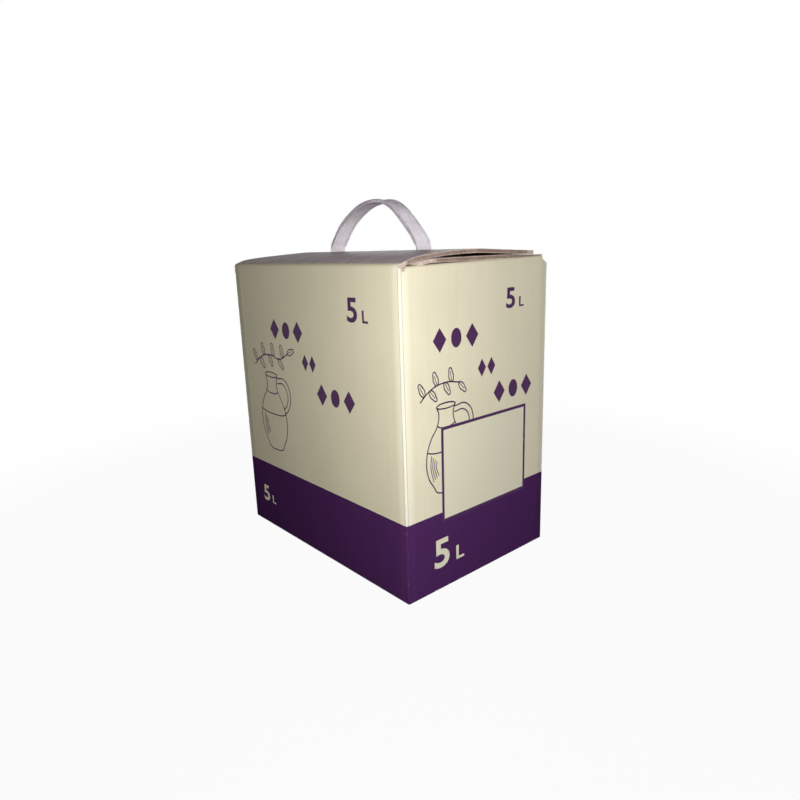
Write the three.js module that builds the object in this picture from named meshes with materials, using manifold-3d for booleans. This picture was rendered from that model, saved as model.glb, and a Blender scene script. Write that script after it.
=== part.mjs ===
// Five-litre bag in box: a folded corrugated carton with a carry strap on its outer top flap,
// and inside it a full film bag with its gland and tap, stowed behind a perforated knock-out.
// Millimetres, +Z up, origin at the middle of the base. The long walls face -Y and +Y.
import * as THREE from 'three';
import { mergeVertices } from 'three/addons/utils/BufferGeometryUtils.js';
import Module from 'manifold-3d';

const wasm = await Module();
wasm.setup();

// Carton
const WIDTH = 204;
const DEPTH = 142;
const HEIGHT = 220;
const BOARD = 2.6;
const FIT_GAP = 0.3;
const CORNER_RADIUS = 1.4;
const BASE_EDGE_RADIUS = 0.7;
const SCORE_GROOVE = 0.5;
const WALL_TOP = 217.2;
const OVERLAP = 0.5;

// Top flaps, from the lowest up
const MINOR_FOLD_RADIUS = 2.2;
const FRONT_FOLD_RADIUS = 2.9;
const MINOR_FLAP_TOP = 218.2;
const MINOR_FLAP_RISE = 2.3;
const MINOR_FLAP_LENGTH = 70;
const INNER_FLAP_TOP = 222;
const INNER_FLAP_EDGE_Y = -56;
const INNER_FLAP_PLAIN_EDGE = 16;
const INNER_FOLD_RADIUS = 5;
const FLAP_SIDE_CLEARANCE = 0.6;
const SLOT_HALF_WIDTH = 5.8;
const BACK_SLOT_END_RADIUS = 3.1;
const FRONT_SLOT_END_RADIUS = 2.3;
const FRONT_SLOT_END_Z = 217.4;
const CRUSHED_FOLD_DEPTH = 1.6;

// Outer top flap: it is hinged on the front long wall and bows up to a ridge over the strap's anchors
const HINGE_INSET = 3.1;
const HINGE_Y = -DEPTH / 2 + HINGE_INSET;
const OUTER_FLAP_EDGE_Y = 55;
const RIDGE_Y = 0;
const RIDGE_RISE = 6.7;
const BACK_FALL = 2.7;
const BOW_POWER = 0.6;
const FALL_POWER = 0.95;
const LEFT_END_SAG = 1;

// Corrugated board's section, seen at its cut edges
const FLUTE_PITCH = 6.4;
const LINER = 0.4;
const MEDIUM = 0.3;
const FLUTE_DEPTH = 5;
const EDGE_GROOVE_DEPTH = 1.2;

// Carry strap
const STRAP_WIDTH = 14;
const STRAP_THICKNESS = 1.3;
const STRAP_LEFT_X = -55.4;
const STRAP_RIGHT_X = 48;
const STRAP_TOP_Z = 262.5;
const RIM_WIDTH = 1.4;
const RIM_THICKNESS = 2.9;
const RIB_COUNT = 5;
const RIB_HEIGHT = 0.35;
const ANCHOR_WIDTH = 24;
const ANCHOR_LENGTH = 11;
const ANCHOR_THICKNESS = 1.2;

// Knock-out, bag and tap, behind the left narrow wall
const TAP_Z = 46;
const KNOCKOUT_RADIUS = 23;
const KNOCKOUT_SLITS = 14;
const SLIT_WIDTH = 0.8;
const SLIT_SHARE = 0.72;
const THUMB_HOLE_RADIUS = 8;
const GLUE_TAB_WIDTH = 35;
const GLUE_TAB_TOP = 205;
const GLUE_SEAM_WIDTH = 1.1;
const BAG_CLEARANCE = 1;
const BAG_TOP = 214;
const BAG_POWER = 0.2;
const TAP_POCKET_RADIUS = 27;
const TAP_POCKET_FLOOR_X = -60;
const GLAND_FLANGE_RADIUS = 20;
const GLAND_NECK_RADIUS = 13;
const GLAND_NECK_LENGTH = 12;
const GLAND_WALL = 2;
const TAP_START = 5;
const TAP_COLLAR_LENGTH = 3;
const TAP_END = 27;
const TAP_END_RADIUS = 10;
const SPOUT_OFFSET = 20;
const SPOUT_LENGTH = 23;
const SPOUT_RADIUS = 6.5;
const SPOUT_BORE_RADIUS = 5;
const SPOUT_BORE_LENGTH = 16;
const LEVER_WIDTH = 16;
const LEVER_FOOT = 6;

const ANCHOR_TOP = HEIGHT + RIDGE_RISE - BOARD - 3 * FIT_GAP;
const INSIDE_WIDTH = WIDTH - 2 * BOARD;
const INSIDE_DEPTH = DEPTH - 2 * BOARD;

// Booleans

function toSolid(geometry) {
  const bare = geometry.clone();
  bare.deleteAttribute('normal');
  bare.deleteAttribute('uv');
  const merged = mergeVertices(bare, 1e-4);
  return new wasm.Manifold(new wasm.Mesh({
    numProp: 3,
    vertProperties: new Float32Array(merged.attributes.position.array),
    triVerts: new Uint32Array(merged.index.array),
  }));
}

function toGeometry(solid) {
  const mesh = solid.getMesh();
  const geometry = new THREE.BufferGeometry();
  geometry.setAttribute('position', new THREE.BufferAttribute(mesh.vertProperties, 3));
  geometry.setIndex(new THREE.BufferAttribute(mesh.triVerts, 1));
  geometry.computeVertexNormals();
  return geometry;
}

// Helpers for shapes

function box(low, high) {
  const size = high.map((value, i) => value - low[i]);
  const geometry = new THREE.BoxGeometry(...size);
  geometry.translate(...high.map((value, i) => (value + low[i]) / 2));
  return toSolid(geometry);
}

function roundedRectangle(width, depth, radius) {
  const x = width / 2;
  const y = depth / 2;
  const shape = new THREE.Shape();
  shape.moveTo(-x + radius, -y);
  shape.lineTo(x - radius, -y);
  shape.absarc(x - radius, -y + radius, radius, -Math.PI / 2, 0);
  shape.lineTo(x, y - radius);
  shape.absarc(x - radius, y - radius, radius, 0, Math.PI / 2);
  shape.lineTo(-x + radius, y);
  shape.absarc(-x + radius, y - radius, radius, Math.PI / 2, Math.PI);
  shape.lineTo(-x, -y + radius);
  shape.absarc(-x + radius, -y + radius, radius, Math.PI, 1.5 * Math.PI);
  return shape;
}

// A profile drawn as (y, z) and extruded along X, centred on x = 0
function extrudeAlongX(profile, length, curveSegments = 6) {
  const geometry = new THREE.ExtrudeGeometry(profile, { depth: length, bevelEnabled: false, curveSegments });
  geometry.translate(0, 0, -length / 2);
  geometry.rotateY(Math.PI / 2);
  geometry.rotateX(Math.PI / 2);
  return geometry;
}

// A profile drawn as (x, z) and extruded along Y, centred on y = 0
function extrudeAlongY(profile, length, curveSegments = 6) {
  const geometry = new THREE.ExtrudeGeometry(profile, { depth: length, bevelEnabled: false, curveSegments });
  geometry.translate(0, 0, -length / 2);
  geometry.rotateX(Math.PI / 2);
  return geometry;
}

// A lathe profile of (radius, distance) turned about a level axis that runs towards -X
function turnedAlongX(points, segments, x, z) {
  const profile = points.map(([radius, distance]) => new THREE.Vector2(radius, distance));
  const geometry = new THREE.LatheGeometry(profile, segments);
  geometry.rotateZ(Math.PI / 2);
  geometry.translate(x, 0, z);
  return toSolid(geometry);
}

function cylinder(radius, length, segments = 24) {
  return new THREE.CylinderGeometry(radius, radius, length, segments);
}

// Form of the two upper flaps

function outerFlapTop(x, y) {
  const frontRun = RIDGE_Y - HINGE_Y;
  const backRun = OUTER_FLAP_EDGE_Y - RIDGE_Y;
  const fromHinge = THREE.MathUtils.clamp((y - HINGE_Y) / frontRun, 0, 1);
  const fromRidge = THREE.MathUtils.clamp((y - RIDGE_Y) / backRun, 0, 1);
  const bow = RIDGE_RISE * Math.sin((Math.PI / 2) * fromHinge ** BOW_POWER);
  const fall = BACK_FALL * fromRidge ** FALL_POWER;
  const leftward = THREE.MathUtils.smoothstep(-x, -WIDTH / 5, WIDTH / 2);
  const sag = LEFT_END_SAG * leftward * Math.sin(Math.PI * fromHinge);
  return HEIGHT + bow - fall - sag;
}

function innerFlapTop(x, y) {
  return Math.min(INNER_FLAP_TOP, outerFlapTop(x, y) - BOARD - 1.5 * FIT_GAP);
}

// A sheet over an x and y range, between two height functions
function sheet([lowX, highX], [lowY, highY], bottomAt, topAt, stepsX, stepsY) {
  const geometry = new THREE.BoxGeometry(highX - lowX, highY - lowY, 1, stepsX, stepsY, 1);
  geometry.translate((lowX + highX) / 2, (lowY + highY) / 2, 0);
  const position = geometry.attributes.position;
  for (let i = 0; i < position.count; i += 1) {
    const x = position.getX(i);
    const y = position.getY(i);
    const heightAt = position.getZ(i) > 0 ? topAt : bottomAt;
    position.setZ(i, heightAt(x, y));
  }
  return toSolid(geometry);
}

// The hollow between the two liners along a sheet's side edges
function edgeGrooves(halfWidth, rangeY, topAt) {
  const under = (x, y) => topAt(x, y) - BOARD + LINER;
  const over = (x, y) => topAt(x, y) - LINER;
  const inner = halfWidth - EDGE_GROOVE_DEPTH;
  const right = sheet([inner, halfWidth + 1], rangeY, under, over, 1, 20);
  const left = sheet([-halfWidth - 1, -inner], rangeY, under, over, 1, 20);
  return right.add(left);
}

// One open flute: the space between the wavy medium and a liner, seen end on
function flutePocket(side) {
  const half = FLUTE_PITCH / 2;
  const reach = BOARD / 2 - LINER;
  const crest = reach - MEDIUM;
  const shape = new THREE.Shape();
  shape.moveTo(-half * 0.8, side * reach);
  for (let i = 0; i <= 6; i += 1) {
    const t = i / 6;
    shape.lineTo(-half * 0.8 + half * 1.6 * t, side * (reach - (reach + crest) * Math.sin(Math.PI * t)));
  }
  return shape;
}

function flutesAlongEdge(halfWidth, edgeY, middleZ) {
  let pockets = null;
  const count = Math.floor((2 * halfWidth - FLUTE_PITCH) / (FLUTE_PITCH / 2));
  for (let i = 0; i <= count; i += 1) {
    const side = i % 2 === 0 ? 1 : -1;
    const x = (i - count / 2) * (FLUTE_PITCH / 2);
    const geometry = extrudeAlongY(flutePocket(side), 2 * FLUTE_DEPTH);
    geometry.translate(x, edgeY, middleZ);
    const pocket = toSolid(geometry);
    pockets = pockets ? pockets.add(pocket) : pocket;
  }
  return pockets;
}

// Carton

function cartonShell() {
  const outline = roundedRectangle(WIDTH - 2 * BASE_EDGE_RADIUS, DEPTH - 2 * BASE_EDGE_RADIUS,
    CORNER_RADIUS - BASE_EDGE_RADIUS);
  const outer = new THREE.ExtrudeGeometry(outline, {
    depth: HEIGHT,
    bevelEnabled: true,
    bevelSize: BASE_EDGE_RADIUS,
    bevelThickness: BASE_EDGE_RADIUS,
    bevelSegments: 4,
    curveSegments: 5,
  });
  outer.translate(0, 0, BASE_EDGE_RADIUS);
  const inside = new THREE.ExtrudeGeometry(roundedRectangle(INSIDE_WIDTH, INSIDE_DEPTH, 0.6), {
    depth: 2 * HEIGHT,
    bevelEnabled: false,
    curveSegments: 2,
  });
  inside.translate(0, 0, BOARD);
  const aboveWalls = box([-WIDTH, -DEPTH, WALL_TOP], [WIDTH, DEPTH, 2 * HEIGHT]);
  return toSolid(outer).subtract(toSolid(inside)).subtract(aboveWalls);
}

// The two inner base flaps lie across the ends, over the seam where the two outer ones meet
function baseFlaps() {
  const innerEnd = INSIDE_WIDTH / 2;
  const reach = innerEnd - MINOR_FLAP_LENGTH;
  const halfDepth = INSIDE_DEPTH / 2 + OVERLAP;
  const right = box([reach, -halfDepth, BOARD - OVERLAP], [innerEnd + OVERLAP, halfDepth, 2 * BOARD]);
  const left = box([-innerEnd - OVERLAP, -halfDepth, BOARD - OVERLAP], [-reach, halfDepth, 2 * BOARD]);
  return right.add(left);
}

function baseSeam() {
  return box([-WIDTH / 2 + 2 * BOARD, -0.5, -1], [WIDTH / 2 - 2 * BOARD, 0.5, BOARD]);
}

// A narrow wall's top and its minor flap, folded in under the others and lying higher at the back
function minorFlap(side) {
  const outerX = WIDTH / 2;
  const innerX = outerX - BOARD;
  const under = MINOR_FLAP_TOP - BOARD;
  const radius = MINOR_FOLD_RADIUS;
  const wallZ = WALL_TOP - 2 * BOARD;
  const shape = new THREE.Shape();
  shape.moveTo(outerX, wallZ);
  shape.lineTo(outerX, MINOR_FLAP_TOP - radius);
  shape.absarc(outerX - radius, MINOR_FLAP_TOP - radius, radius, 0, Math.PI / 2);
  shape.lineTo(innerX - MINOR_FLAP_LENGTH, MINOR_FLAP_TOP);
  shape.lineTo(innerX - MINOR_FLAP_LENGTH, under);
  shape.lineTo(innerX, under);
  shape.lineTo(innerX, wallZ);
  const geometry = extrudeAlongY(shape, DEPTH - 2 * SLOT_HALF_WIDTH);
  if (side < 0) {
    geometry.rotateZ(Math.PI);
  }
  const position = geometry.attributes.position;
  for (let i = 0; i < position.count; i += 1) {
    const z = position.getZ(i);
    const rise = MINOR_FLAP_RISE * (position.getY(i) / DEPTH + 0.5);
    position.setZ(i, z > wallZ + OVERLAP ? z + rise : z);
  }
  return toSolid(geometry);
}

// The back long wall's top and the full flap that folds forward from it
function innerFlap() {
  const length = WIDTH - 2 * SLOT_HALF_WIDTH;
  const outerY = DEPTH / 2;
  const radius = INNER_FOLD_RADIUS;
  const foldY = outerY - radius;
  const foldTop = innerFlapTop(0, foldY);
  const foldZ = foldTop - radius;
  const fold = new THREE.Shape();
  fold.moveTo(outerY, foldZ - 2 * BOARD);
  fold.lineTo(outerY, foldZ);
  fold.absarc(foldY, foldZ, radius, 0, Math.PI / 2);
  fold.lineTo(foldY - OVERLAP, foldTop);
  fold.lineTo(foldY - OVERLAP, foldTop - BOARD);
  fold.absarc(foldY, foldZ, radius - BOARD, Math.PI / 2, 0, true);
  fold.lineTo(outerY - BOARD, foldZ - 2 * BOARD);
  const halfWidth = WIDTH / 2 - FLAP_SIDE_CLEARANCE;
  const rangeY = [INNER_FLAP_EDGE_Y, foldY];
  const under = (x, y) => innerFlapTop(x, y) - BOARD;
  const panel = sheet([-halfWidth, halfWidth], rangeY, under, innerFlapTop, 8, 22);
  const grooveRange = [INNER_FLAP_EDGE_Y + INNER_FLAP_PLAIN_EDGE, foldY + 1];
  const grooves = edgeGrooves(halfWidth, grooveRange, innerFlapTop);
  return panel.subtract(grooves).add(toSolid(extrudeAlongX(fold, length, 8)));
}

// The front long wall's top edge turns over as far as the crease that the outer flap swings on,
// crushed inward where it folds
function frontCrease() {
  const outerY = -DEPTH / 2;
  const radius = FRONT_FOLD_RADIUS;
  const creaseY = HINGE_Y - FIT_GAP / 2;
  const crushedY = outerY + BOARD + CRUSHED_FOLD_DEPTH;
  const foot = WALL_TOP - 2 * BOARD;
  const shape = new THREE.Shape();
  shape.moveTo(outerY + BOARD, foot);
  shape.lineTo(outerY, foot);
  shape.lineTo(outerY, HEIGHT - radius);
  shape.absarc(outerY + radius, HEIGHT - radius, radius, Math.PI, Math.PI / 2, true);
  shape.lineTo(creaseY, HEIGHT);
  shape.lineTo(creaseY, HEIGHT - BOARD - 2 * FIT_GAP);
  shape.quadraticCurveTo(crushedY, HEIGHT - BOARD - 2 * FIT_GAP, crushedY, HEIGHT - 2 * BOARD);
  shape.quadraticCurveTo(crushedY, foot, outerY + BOARD, foot);
  return toSolid(extrudeAlongX(shape, WIDTH - 2 * FLAP_SIDE_CLEARANCE));
}

// The round end of each slot between two flaps: through the fold at the back, beside it at the front
function cornerSlotEnds() {
  const front = cylinder(FRONT_SLOT_END_RADIUS, 2 * WIDTH, 24);
  front.rotateZ(Math.PI / 2);
  front.translate(0, -DEPTH / 2 + SLOT_HALF_WIDTH - FRONT_SLOT_END_RADIUS, FRONT_SLOT_END_Z);
  let ends = toSolid(front);
  for (const sideX of [-1, 1]) {
    const back = cylinder(BACK_SLOT_END_RADIUS, 4 * BOARD, 20);
    back.rotateZ((-sideX * Math.PI) / 4);
    back.translate(sideX * (WIDTH / 2 - 1), DEPTH / 2 - 1, WALL_TOP + 1);
    ends = ends.add(toSolid(back));
  }
  return ends;
}

// Two fine scores beside every upright fold
function foldScores() {
  let scores = null;
  const x = WIDTH / 2;
  const y = DEPTH / 2;
  const places = [[x - CORNER_RADIUS, y], [x, y - CORNER_RADIUS]];
  for (const sideX of [-1, 1]) {
    for (const sideY of [-1, 1]) {
      for (const [placeX, placeY] of places) {
        const geometry = new THREE.BoxGeometry(SCORE_GROOVE, SCORE_GROOVE, 2 * HEIGHT);
        geometry.rotateZ(Math.PI / 4);
        geometry.translate(sideX * placeX, sideY * placeY, 0);
        const score = toSolid(geometry);
        scores = scores ? scores.add(score) : score;
      }
    }
  }
  return scores;
}

// The maker's joint: a tab inside the back wall, and the cut edge of that wall beside the fold
function glueTab() {
  const innerX = -INSIDE_WIDTH / 2;
  const innerY = INSIDE_DEPTH / 2;
  const low = [innerX - OVERLAP, innerY - BOARD, 2 * BOARD - OVERLAP];
  return box(low, [innerX + GLUE_TAB_WIDTH, innerY + OVERLAP, GLUE_TAB_TOP]);
}

function glueSeamGap() {
  const seamX = -WIDTH / 2 + BOARD + OVERLAP;
  return box([seamX, DEPTH / 2 - BOARD, BOARD + OVERLAP], [seamX + GLUE_SEAM_WIDTH, DEPTH, HEIGHT]);
}

// Ring of slits through the left narrow wall, with nicks of board left between them
function knockoutSlits() {
  let slits = null;
  const pitch = (2 * Math.PI) / KNOCKOUT_SLITS;
  const span = pitch * SLIT_SHARE;
  for (let i = 0; i < KNOCKOUT_SLITS; i += 1) {
    const start = i * pitch;
    const shape = new THREE.Shape();
    shape.absarc(0, 0, KNOCKOUT_RADIUS + SLIT_WIDTH / 2, start, start + span);
    shape.absarc(0, 0, KNOCKOUT_RADIUS - SLIT_WIDTH / 2, start + span, start, true);
    const geometry = extrudeAlongX(shape, 4 * BOARD, 4);
    geometry.translate(-WIDTH / 2, 0, TAP_Z);
    const slit = toSolid(geometry);
    slits = slits ? slits.add(slit) : slit;
  }
  return slits;
}

function thumbHole() {
  const geometry = cylinder(THUMB_HOLE_RADIUS, 4 * BOARD, 24);
  geometry.rotateZ(Math.PI / 2);
  geometry.translate(-WIDTH / 2, 0, TAP_Z + KNOCKOUT_RADIUS);
  const upperHalf = box([-WIDTH, -DEPTH, TAP_Z + KNOCKOUT_RADIUS + 1], [0, DEPTH, HEIGHT]);
  return toSolid(geometry).intersect(upperHalf);
}

function carton() {
  return cartonShell()
    .subtract(baseSeam())
    .subtract(cornerSlotEnds())
    .add(baseFlaps())
    .add(minorFlap(1))
    .add(minorFlap(-1))
    .add(innerFlap())
    .add(frontCrease())
    .subtract(foldScores())
    .add(glueTab())
    .subtract(glueSeamGap())
    .subtract(knockoutSlits())
    .subtract(thumbHole());
}

// Outer top flap

function strapSlots() {
  const halfX = STRAP_THICKNESS / 2 + FIT_GAP;
  const halfY = STRAP_WIDTH / 2 + FIT_GAP;
  const slotAt = (x) => box([x - halfX, -halfY, HEIGHT - 2 * BOARD], [x + halfX, halfY, HEIGHT + 4 * BOARD]);
  return slotAt(STRAP_LEFT_X).add(slotAt(STRAP_RIGHT_X));
}

function outerFlap() {
  const halfWidth = WIDTH / 2 - FLAP_SIDE_CLEARANCE;
  const rangeY = [HINGE_Y + FIT_GAP / 2, OUTER_FLAP_EDGE_Y];
  const under = (x, y) => outerFlapTop(x, y) - BOARD;
  const middleZ = outerFlapTop(0, OUTER_FLAP_EDGE_Y) - BOARD / 2;
  return sheet([-halfWidth, halfWidth], rangeY, under, outerFlapTop, 10, 24)
    .subtract(edgeGrooves(halfWidth, [rangeY[0] + 4, rangeY[1] - FLUTE_DEPTH - 2], outerFlapTop))
    .subtract(flutesAlongEdge(halfWidth - 2, OUTER_FLAP_EDGE_Y, middleZ))
    .subtract(strapSlots());
}

// Carry strap

// The strap's middle line, in the plane y = 0: upright feet, then an arch that leans a little to the right
function strapLine() {
  const points = [
    [STRAP_LEFT_X, ANCHOR_TOP - OVERLAP],
    [STRAP_LEFT_X, ANCHOR_TOP + 6],
    [STRAP_LEFT_X + 5.8, STRAP_TOP_Z - 25.6],
    [STRAP_LEFT_X + 16.4, STRAP_TOP_Z - 14.9],
    [STRAP_LEFT_X + 37.5, STRAP_TOP_Z - 3.3],
    [STRAP_LEFT_X + 54, STRAP_TOP_Z],
    [STRAP_RIGHT_X - 36.5, STRAP_TOP_Z - 1],
    [STRAP_RIGHT_X - 26.5, STRAP_TOP_Z - 5.6],
    [STRAP_RIGHT_X - 10.4, STRAP_TOP_Z - 20],
    [STRAP_RIGHT_X - 3, STRAP_TOP_Z - 28.6],
    [STRAP_RIGHT_X, ANCHOR_TOP + 4.5],
    [STRAP_RIGHT_X, ANCHOR_TOP - OVERLAP],
  ];
  const route = points.map(([x, z]) => new THREE.Vector3(x, 0, z));
  return new THREE.CatmullRomCurve3(route, false, 'centripetal');
}

// A band that follows the middle line between two shares of it, drawn as (x, z)
function bandOutline(line, from, to, thickness, steps) {
  const outer = [];
  const inner = [];
  for (let i = 0; i <= steps; i += 1) {
    const share = from + ((to - from) * i) / steps;
    const point = line.getPointAt(share);
    const tangent = line.getTangentAt(share);
    const acrossX = (-tangent.z * thickness) / 2;
    const acrossZ = (tangent.x * thickness) / 2;
    outer.push(new THREE.Vector2(point.x + acrossX, point.z + acrossZ));
    inner.push(new THREE.Vector2(point.x - acrossX, point.z - acrossZ));
  }
  return new THREE.Shape([...outer, ...inner.reverse()]);
}

function strapAnchor(x) {
  const halfX = ANCHOR_LENGTH / 2;
  const halfY = ANCHOR_WIDTH / 2;
  return box([x - halfX, -halfY, ANCHOR_TOP - ANCHOR_THICKNESS], [x + halfX, halfY, ANCHOR_TOP]);
}

// A flat band with a thicker rim along either edge, and ribs between the rims down to near the feet
function carryStrap() {
  const line = strapLine();
  let strap = toSolid(extrudeAlongY(bandOutline(line, 0, 1, STRAP_THICKNESS, 48), STRAP_WIDTH));
  const rim = bandOutline(line, 0.06, 0.94, RIM_THICKNESS, 44);
  for (const side of [-1, 1]) {
    const geometry = extrudeAlongY(rim, RIM_WIDTH);
    geometry.translate(0, (side * (STRAP_WIDTH - RIM_WIDTH)) / 2, 0);
    strap = strap.add(toSolid(geometry));
  }
  const ribbed = bandOutline(line, 0.09, 0.91, STRAP_THICKNESS + 2 * RIB_HEIGHT, 40);
  const pitch = (STRAP_WIDTH - 2 * RIM_WIDTH) / (RIB_COUNT + 0.5);
  for (let i = 0; i < RIB_COUNT; i += 1) {
    const rib = extrudeAlongY(ribbed, pitch / 2);
    rib.translate(0, (i - (RIB_COUNT - 1) / 2) * pitch, 0);
    strap = strap.add(toSolid(rib));
  }
  return strap.add(strapAnchor(STRAP_LEFT_X)).add(strapAnchor(STRAP_RIGHT_X));
}

// Bag and tap

function signedPower(value, power) {
  const size = Math.abs(value);
  return size < 1e-9 ? 0 : Math.sign(value) * size ** power;
}

// A full bag takes the box's shape, with rounded edges, and leaves a pocket for the stowed tap
function innerBag() {
  const halfX = INSIDE_WIDTH / 2 - BAG_CLEARANCE;
  const halfY = INSIDE_DEPTH / 2 - BAG_CLEARANCE - BOARD;
  const low = 2 * BOARD + FIT_GAP;
  const halfZ = (BAG_TOP - low) / 2;
  const geometry = new THREE.SphereGeometry(1, 36, 22);
  const position = geometry.attributes.position;
  const point = new THREE.Vector3();
  for (let i = 0; i < position.count; i += 1) {
    point.fromBufferAttribute(position, i);
    const height = point.y;
    const level = Math.hypot(point.x, point.z);
    const around = level > 1e-9 ? [point.x / level, point.z / level] : [0, 0];
    const spread = signedPower(level, BAG_POWER);
    position.setXYZ(i,
      halfX * spread * signedPower(around[0], BAG_POWER),
      -halfY * spread * signedPower(around[1], BAG_POWER),
      low + halfZ + halfZ * signedPower(height, BAG_POWER));
  }
  const pocket = cylinder(TAP_POCKET_RADIUS, 2 * (WIDTH / 2 + TAP_POCKET_FLOOR_X), 32);
  pocket.rotateZ(Math.PI / 2);
  pocket.translate(-WIDTH / 2, 0, TAP_Z);
  return toSolid(geometry).subtract(toSolid(pocket));
}

// Flange welded to the film, with the neck that the tap is pressed on
function tapGland() {
  return turnedAlongX([
    [0, FIT_GAP],
    [GLAND_FLANGE_RADIUS, FIT_GAP],
    [GLAND_FLANGE_RADIUS, GLAND_WALL],
    [GLAND_NECK_RADIUS, GLAND_WALL + FIT_GAP],
    [GLAND_NECK_RADIUS, GLAND_NECK_LENGTH],
    [GLAND_NECK_RADIUS - GLAND_WALL, GLAND_NECK_LENGTH],
    [GLAND_NECK_RADIUS - GLAND_WALL, 2 * GLAND_WALL],
    [0, 2 * GLAND_WALL],
  ], 36, TAP_POCKET_FLOOR_X, TAP_Z);
}

// Barrel that fits over the neck, with a spout pointing down
function tapBody() {
  const seat = GLAND_NECK_LENGTH + FIT_GAP;
  const bore = GLAND_NECK_RADIUS + FIT_GAP;
  const barrelRadius = GLAND_NECK_RADIUS + GLAND_WALL / 2;
  const barrel = turnedAlongX([
    [0, seat],
    [bore, seat],
    [bore, TAP_START],
    [GLAND_NECK_RADIUS + GLAND_WALL, TAP_START],
    [GLAND_NECK_RADIUS + GLAND_WALL, TAP_START + TAP_COLLAR_LENGTH],
    [barrelRadius, TAP_START + TAP_COLLAR_LENGTH],
    [barrelRadius, seat + GLAND_WALL],
    [TAP_END_RADIUS, seat + 3 * GLAND_WALL],
    [TAP_END_RADIUS, TAP_END],
    [0, TAP_END],
  ], 36, TAP_POCKET_FLOOR_X, TAP_Z);
  const spoutX = TAP_POCKET_FLOOR_X - SPOUT_OFFSET;
  const spout = cylinder(SPOUT_RADIUS, SPOUT_LENGTH, 24);
  spout.rotateX(Math.PI / 2);
  spout.translate(spoutX, 0, TAP_Z - SPOUT_LENGTH / 2);
  const spoutBore = cylinder(SPOUT_BORE_RADIUS, SPOUT_BORE_LENGTH, 24);
  spoutBore.rotateX(Math.PI / 2);
  spoutBore.translate(spoutX, 0, TAP_Z - SPOUT_LENGTH + SPOUT_BORE_LENGTH / 2 - 1);
  return barrel.add(toSolid(spout)).subtract(toSolid(spoutBore));
}

// Thumb lever: a curved wing that presses the valve, held across the barrel's end
function tapLever() {
  const wing = new THREE.Shape();
  const faceX = TAP_POCKET_FLOOR_X - TAP_END - FIT_GAP;
  wing.moveTo(faceX, TAP_Z + LEVER_FOOT);
  wing.lineTo(faceX, TAP_Z - LEVER_FOOT);
  wing.lineTo(faceX - 3, TAP_Z - LEVER_FOOT);
  wing.lineTo(faceX - 3.4, TAP_Z + 4);
  wing.quadraticCurveTo(faceX - 4, TAP_Z + 14, faceX - 8, TAP_Z + 19);
  wing.lineTo(faceX - 6, TAP_Z + 20);
  wing.quadraticCurveTo(faceX - 1, TAP_Z + 15, faceX, TAP_Z + LEVER_FOOT);
  return toSolid(extrudeAlongY(wing, LEVER_WIDTH, 8));
}

// Assembly

function addPart(parent, name, solid, colour, roughness, metalness = 0) {
  const material = new THREE.MeshStandardMaterial({ color: colour, roughness, metalness });
  const mesh = new THREE.Mesh(toGeometry(solid), material);
  mesh.name = name;
  parent.add(mesh);
}

const group = new THREE.Group();
addPart(group, 'carton', carton(), 0xd9d3b6, 0.75);
addPart(group, 'outer_flap', outerFlap(), 0xb8adae, 0.75);
addPart(group, 'carry_strap', carryStrap(), 0xe6dfe8, 0.4);
addPart(group, 'inner_bag', innerBag(), 0xc6c8cc, 0.3, 0.6);
addPart(group, 'tap_gland', tapGland(), 0xf0f0ec, 0.4);
addPart(group, 'tap_body', tapBody(), 0xefefeb, 0.4);
addPart(group, 'tap_lever', tapLever(), 0xb0202c, 0.4);

export default group;
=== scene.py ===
"""Dresses a five-litre bag in box: printed corrugated board with raw cut edges, a ribbed carry
strap, and the film bag with its tap inside. Metres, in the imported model's own frame."""

import logging
import math
from collections.abc import Callable, Iterable
from dataclasses import dataclass, field
from enum import Enum, IntEnum

import bpy
from mathutils import Matrix, Vector


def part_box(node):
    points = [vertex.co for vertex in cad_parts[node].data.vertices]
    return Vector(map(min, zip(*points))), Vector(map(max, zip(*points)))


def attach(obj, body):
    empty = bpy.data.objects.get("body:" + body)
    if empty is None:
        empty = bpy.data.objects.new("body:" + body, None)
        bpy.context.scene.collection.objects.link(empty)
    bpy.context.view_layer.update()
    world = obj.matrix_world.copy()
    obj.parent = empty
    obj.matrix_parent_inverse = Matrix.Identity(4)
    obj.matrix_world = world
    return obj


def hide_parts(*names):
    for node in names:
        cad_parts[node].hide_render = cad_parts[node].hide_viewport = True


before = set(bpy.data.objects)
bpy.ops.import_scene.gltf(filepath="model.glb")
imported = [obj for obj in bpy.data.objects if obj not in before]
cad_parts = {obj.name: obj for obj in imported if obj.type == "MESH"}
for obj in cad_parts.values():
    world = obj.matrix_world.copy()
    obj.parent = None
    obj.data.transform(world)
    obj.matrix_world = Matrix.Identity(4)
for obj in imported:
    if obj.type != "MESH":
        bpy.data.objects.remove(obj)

LOG = logging.getLogger("bag_in_box")
MM = 0.001

Colour = tuple[float, float, float, float]
Point = tuple[float, float]
Triple = tuple[float, float, float]
Socket = bpy.types.NodeSocket
Material = bpy.types.Material
Piece = bpy.types.Object


def tint(red: int, green: int, blue: int) -> Colour:
    """Turns a colour as a screen shows it into the linear one that shaders take.

    Args:
        red: Red from 0 to 255.
        green: Green from 0 to 255.
        blue: Blue from 0 to 255.

    Returns:
        The linear colour, with an alpha of 1.
    """
    def linear(level: int) -> float:
        """Gives one channel without its display curve."""
        share = level / 255
        return share / 12.92 if share <= 0.04045 else ((share + 0.055) / 1.055) ** 2.4

    return (linear(red), linear(green), linear(blue), 1.0)


class Wall(Enum):
    """The carton's four upright walls, by the way each one faces, as x and y."""

    FRONT = (0, -1)
    RIGHT = (1, 0)
    BACK = (0, 1)
    LEFT = (-1, 0)


class Ink(IntEnum):
    """The two inks of the print, by their material slot on a printed piece."""

    PURPLE = 0
    CREAM = 1


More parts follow.
